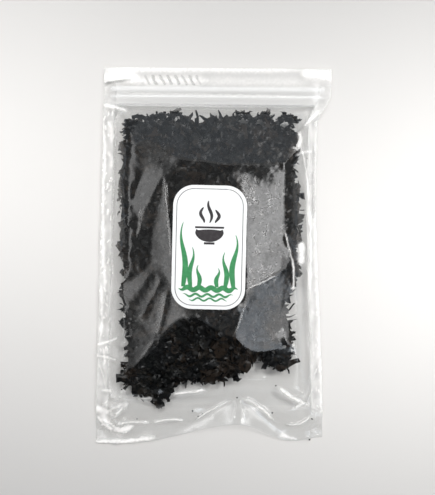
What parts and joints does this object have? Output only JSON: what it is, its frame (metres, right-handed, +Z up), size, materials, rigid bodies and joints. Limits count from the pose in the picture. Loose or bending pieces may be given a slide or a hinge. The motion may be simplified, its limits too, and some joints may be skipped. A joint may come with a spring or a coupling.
{
  "type": "bag of dried cut wakame seaweed",
  "caption": "Clear zip pouch filled with dried cut wakame flakes, lying on its back, with a rounded white sticker on the front.",
  "frame": {"origin": "on the table, under the middle of the pouch's outline", "axes": "+Z up, out of the sticker; +Y along the pouch towards its zip; +X to the right of the sticker as it is read"},
  "size_m": [0.16, 0.2646, 0.0327],
  "materials": {
    "film_over_flakes": "clear glossy film over near-black dried flakes",
    "clear_film": "clear glossy film",
    "wakame": "dry, dull to slightly glossy black-green flakes",
    "sticker_paper": "coated white paper",
    "sticker_print": "printed ink on coated paper"
  },
  "bodies": {
    "root": {"pouch": "film_over_flakes", "sticker": "sticker_paper"}
  },
  "joints": []
}
